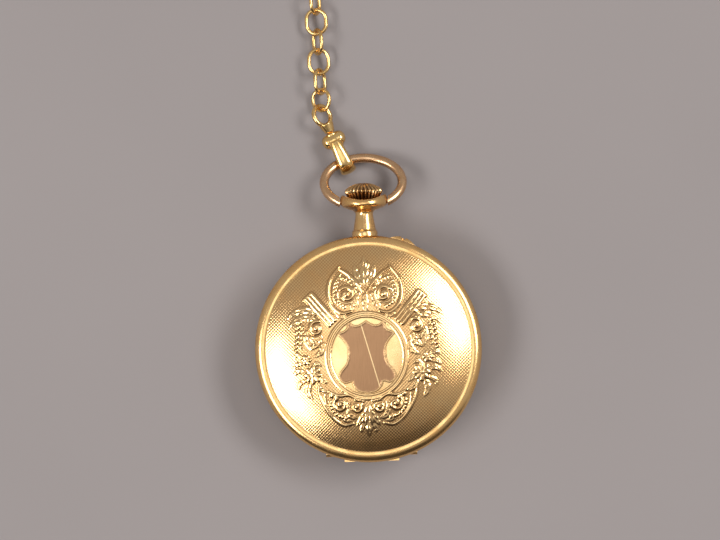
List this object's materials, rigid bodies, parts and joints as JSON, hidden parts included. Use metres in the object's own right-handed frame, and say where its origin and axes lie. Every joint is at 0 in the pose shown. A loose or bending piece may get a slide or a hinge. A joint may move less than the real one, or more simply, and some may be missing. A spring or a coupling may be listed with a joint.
{
  "type": "pocket watch",
  "caption": "Round hunter-case pocket watch with an engraved hinged lid, crown in a cupped pendant, tilting bow, swivel clip and a short oval-link chain with a bar.",
  "frame": {"origin": "centre of the flat on the back cover that the watch rests on", "axes": "+Y from the case centre to the pendant and chain, +Z out of the engraved front cover"},
  "size_m": [0.0504, 0.1191, 0.0156],
  "materials": {
    "case_gold": "engraved and polished gold",
    "bow_gold": "worn rose gold",
    "chain_gold": "polished gold",
    "steel": "brushed",
    "blued_steel": "blued",
    "gilt": "gilt and frosted",
    "enamel": "white fired enamel",
    "glass": "clear",
    "ruby": "polished ruby"
  },
  "bodies": {
    "case": {"case_band": "case_gold", "pendant": "case_gold", "front_hinge_pin": "steel", "back_hinge_pin": "steel", "lift_spring": "steel", "lock_spring": "steel", "olivette": "case_gold", "bezel": "case_gold", "crystal": "glass", "dial": "enamel", "main_plate": "gilt", "barrel_bridge": "gilt", "train_bridge": "gilt", "balance_cock": "gilt", "pallet_bridge": "gilt", "bridge_screws": "steel", "case_screws": "steel", "jewels": "ruby", "crown_wheel_screw": "steel"},
    "front": {"front_cover": "case_gold"},
    "back": {"back_cover": "case_gold"},
    "dust_cover": {"cuvette": "case_gold"},
    "bow_ring": {"bow": "bow_gold"},
    "winding": {"winding_pinion": "steel"},
    "crown_and_stem": {"crown": "case_gold", "winding_stem": "steel"},
    "set_pin": {"setting_pin": "steel"},
    "crown_gear": {"crown_wheel": "steel"},
    "ratchet": {"ratchet_wheel": "steel", "barrel_arbor": "steel"},
    "click_lever": {"click": "steel"},
    "barrel_drum": {"barrel": "gilt", "barrel_cover": "gilt", "mainspring": "steel"},
    "centre": {"centre_wheel": "gilt", "cannon_pinion": "steel", "minute_hand": "blued_steel"},
    "minute_gear": {"minute_wheel": "gilt"},
    "hour_gear": {"hour_wheel": "gilt", "hour_hand": "blued_steel"},
    "third": {"third_wheel": "gilt"},
    "fourth": {"fourth_wheel": "gilt", "seconds_hand": "blued_steel"},
    "escape": {"escape_wheel": "steel"},
    "fork": {"pallet_fork": "steel"},
    "balance": {"balance_wheel": "gilt", "hairspring": "blued_steel"},
    "clip": {"clip_body": "chain_gold"},
    "gate": {"clip_gate": "chain_gold"},
    "swivel": {"clip_eye": "chain_gold"},
    "bar": {"t_bar": "chain_gold"},
    "link_01": {"chain_link_01": "chain_gold"},
    "link_02": {"chain_link_02": "chain_gold"},
    "link_03": {"chain_link_03": "chain_gold"},
    "link_04": {"chain_link_04": "chain_gold"},
    "link_05": {"chain_link_05": "chain_gold"},
    "link_06": {"chain_link_06": "chain_gold"},
    "link_07": {"chain_link_07": "chain_gold"},
    "link_08": {"chain_link_08": "chain_gold"}
  },
  "joints": [
    {"name": "front_cover_hinge", "type": "hinge", "parent": "case", "child": "front", "pos_m": [0, -0.023, 0.0101], "axis": [1, 0, 0], "range_deg": [0, 100]},
    {"name": "back_cover_hinge", "type": "hinge", "parent": "case", "child": "back", "pos_m": [0, -0.023, 0.0055], "axis": [-1, 0, 0], "range_deg": [0, 100]},
    {"name": "cuvette_hinge", "type": "hinge", "parent": "case", "child": "dust_cover", "pos_m": [0, -0.023, 0.0055], "axis": [-1, 0, 0], "range_deg": [0, 86]},
    {"name": "bow_pivot", "type": "hinge", "parent": "case", "child": "bow_ring", "pos_m": [0, 0.0326, 0.0078], "axis": [1, 0, 0], "range_deg": [-80, 140]},
    {"name": "crown_turn", "type": "hinge", "parent": "case", "child": "winding", "pos_m": [0, 0.0168, 0.0078], "axis": [0, 1, 0], "continuous": true},
    {"name": "crown_press", "type": "slide", "parent": "winding", "child": "crown_and_stem", "axis": [0, -1, 0], "range_m": [0, 0.0005], "stiffness_N_per_m": 400, "springref_m": -0.0005},
    {"name": "setting_pin_press", "type": "slide", "parent": "case", "child": "set_pin", "axis": [-0.3322, -0.9432, 0], "range_m": [0, 0.0005], "stiffness_N_per_m": 300, "springref_m": -0.0005},
    {"name": "crown_wheel_turn", "type": "hinge", "parent": "case", "child": "crown_gear", "pos_m": [0, 0.011, 0.0053], "axis": [0, 0, 1], "continuous": true},
    {"name": "ratchet_turn", "type": "hinge", "parent": "case", "child": "ratchet", "pos_m": [-0.00921, 0.00255, 0.0053], "axis": [0, 0, 1], "continuous": true},
    {"name": "click_pivot", "type": "hinge", "parent": "case", "child": "click_lever", "pos_m": [-0.0174, 0.0079, 0.0053], "axis": [0, 0, 1], "range_deg": [-6, 14]},
    {"name": "seconds_turn", "type": "hinge", "parent": "case", "child": "fourth", "pos_m": [0.0092, 0, 0.007], "axis": [0, 0, -1], "continuous": true},
    {"name": "escape_turn", "type": "hinge", "parent": "case", "child": "escape", "pos_m": [0.00638, -0.0042, 0.0065], "axis": [0, 0, -1], "continuous": true},
    {"name": "third_turn", "type": "hinge", "parent": "case", "child": "third", "pos_m": [0.00581, 0.00463, 0.0074], "axis": [0, 0, -1], "continuous": true},
    {"name": "centre_turn", "type": "hinge", "parent": "case", "child": "centre", "pos_m": [0, 0, 0.006], "axis": [0, 0, -1], "continuous": true},
    {"name": "barrel_turn", "type": "hinge", "parent": "case", "child": "barrel_drum", "pos_m": [-0.00921, 0.00255, 0.007], "axis": [0, 0, -1], "continuous": true},
    {"name": "minute_wheel_turn", "type": "hinge", "parent": "case", "child": "minute_gear", "pos_m": [-0.00451, -0.00164, 0.0093], "axis": [0, 0, -1], "continuous": true},
    {"name": "hour_turn", "type": "hinge", "parent": "case", "child": "hour_gear", "pos_m": [0, 0, 0.0097], "axis": [0, 0, -1], "continuous": true},
    {"name": "fork_rock", "type": "hinge", "parent": "case", "child": "fork", "pos_m": [0.00432, -0.00727, 0.0066], "axis": [0, 0, -1], "range_deg": [-5, 5]},
    {"name": "balance_swing", "type": "hinge", "parent": "case", "child": "balance", "pos_m": [0.0012, -0.0119, 0.0055], "axis": [0, 0, -1], "range_deg": [-140, 140], "stiffness_Nm_per_rad": 0.000001},
    {"name": "clip_on_bow", "type": "hinge", "parent": "bow_ring", "child": "clip", "pos_m": [-0.0041, 0.0418, 0.0025], "axis": [-0.932, -0.314, 0.181], "range_deg": [-70, 80]},
    {"name": "clip_gate_hinge", "type": "hinge", "parent": "clip", "child": "gate", "pos_m": [-0.00601, 0.04609, 0.0007], "axis": [-0.9135, -0.4067, 0], "range_deg": [0, 12], "stiffness_Nm_per_rad": 0.002, "springref_deg": -11.46},
    {"name": "clip_swivel", "type": "hinge", "parent": "clip", "child": "swivel", "pos_m": [-0.00654, 0.04728, 0.0026], "axis": [-0.4067, 0.9135, 0], "continuous": true},
    {"name": "link_01_hinge", "type": "hinge", "parent": "swivel", "child": "link_01", "pos_m": [-0.00875, 0.05387, 0.00242], "axis": [0, 0, 1], "range_deg": [-7, 25]},
    {"name": "link_02_hinge", "type": "hinge", "parent": "link_01", "child": "link_02", "pos_m": [-0.00886, 0.05753, 0.00242], "axis": [0.9995, 0.0305, 0], "range_deg": [-25, 25]},
    {"name": "link_03_hinge", "type": "hinge", "parent": "link_02", "child": "link_03", "pos_m": [-0.009, 0.06199, 0.00242], "axis": [0, 0, -1], "range_deg": [-25, 25]},
    {"name": "link_04_hinge", "type": "hinge", "parent": "link_03", "child": "link_04", "pos_m": [-0.00913, 0.06645, 0.00242], "axis": [-0.9995, -0.0305, 0], "range_deg": [-25, 25]},
    {"name": "link_05_hinge", "type": "hinge", "parent": "link_04", "child": "link_05", "pos_m": [-0.00927, 0.0709, 0.00242], "axis": [0, 0, 1], "range_deg": [-25, 25]},
    {"name": "link_06_hinge", "type": "hinge", "parent": "link_05", "child": "link_06", "pos_m": [-0.00941, 0.07536, 0.00242], "axis": [0.9995, 0.0305, 0], "range_deg": [-25, 25]},
    {"name": "link_07_hinge", "type": "hinge", "parent": "link_06", "child": "link_07", "pos_m": [-0.00954, 0.07982, 0.00242], "axis": [0, 0, -1], "range_deg": [-25, 25]},
    {"name": "link_08_hinge", "type": "hinge", "parent": "link_07", "child": "link_08", "pos_m": [-0.00968, 0.08428, 0.00242], "axis": [-0.9995, -0.0305, 0], "range_deg": [-25, 25]},
    {"name": "t_bar_hinge", "type": "hinge", "parent": "link_08", "child": "bar", "pos_m": [-0.00981, 0.08874, 0.00242], "axis": [0, 0, 1], "range_deg": [-25, 25]}
  ],
  "couplings": [
    {"joint": "cuvette_hinge", "follows": "back_cover_hinge", "ratio": 0.85},
    {"joint": "crown_wheel_turn", "follows": "crown_turn", "ratio": 0.40909},
    {"joint": "ratchet_turn", "follows": "crown_turn", "ratio": -0.32143},
    {"joint": "escape_turn", "follows": "seconds_turn", "ratio": -10},
    {"joint": "third_turn", "follows": "seconds_turn", "ratio": -0.13333},
    {"joint": "centre_turn", "follows": "seconds_turn", "ratio": 0.016667},
    {"joint": "barrel_turn", "follows": "seconds_turn", "ratio": -0.0020833},
    {"joint": "minute_wheel_turn", "follows": "seconds_turn", "ratio": -0.0055556},
    {"joint": "hour_turn", "follows": "seconds_turn", "ratio": 0.0013889}
  ]
}
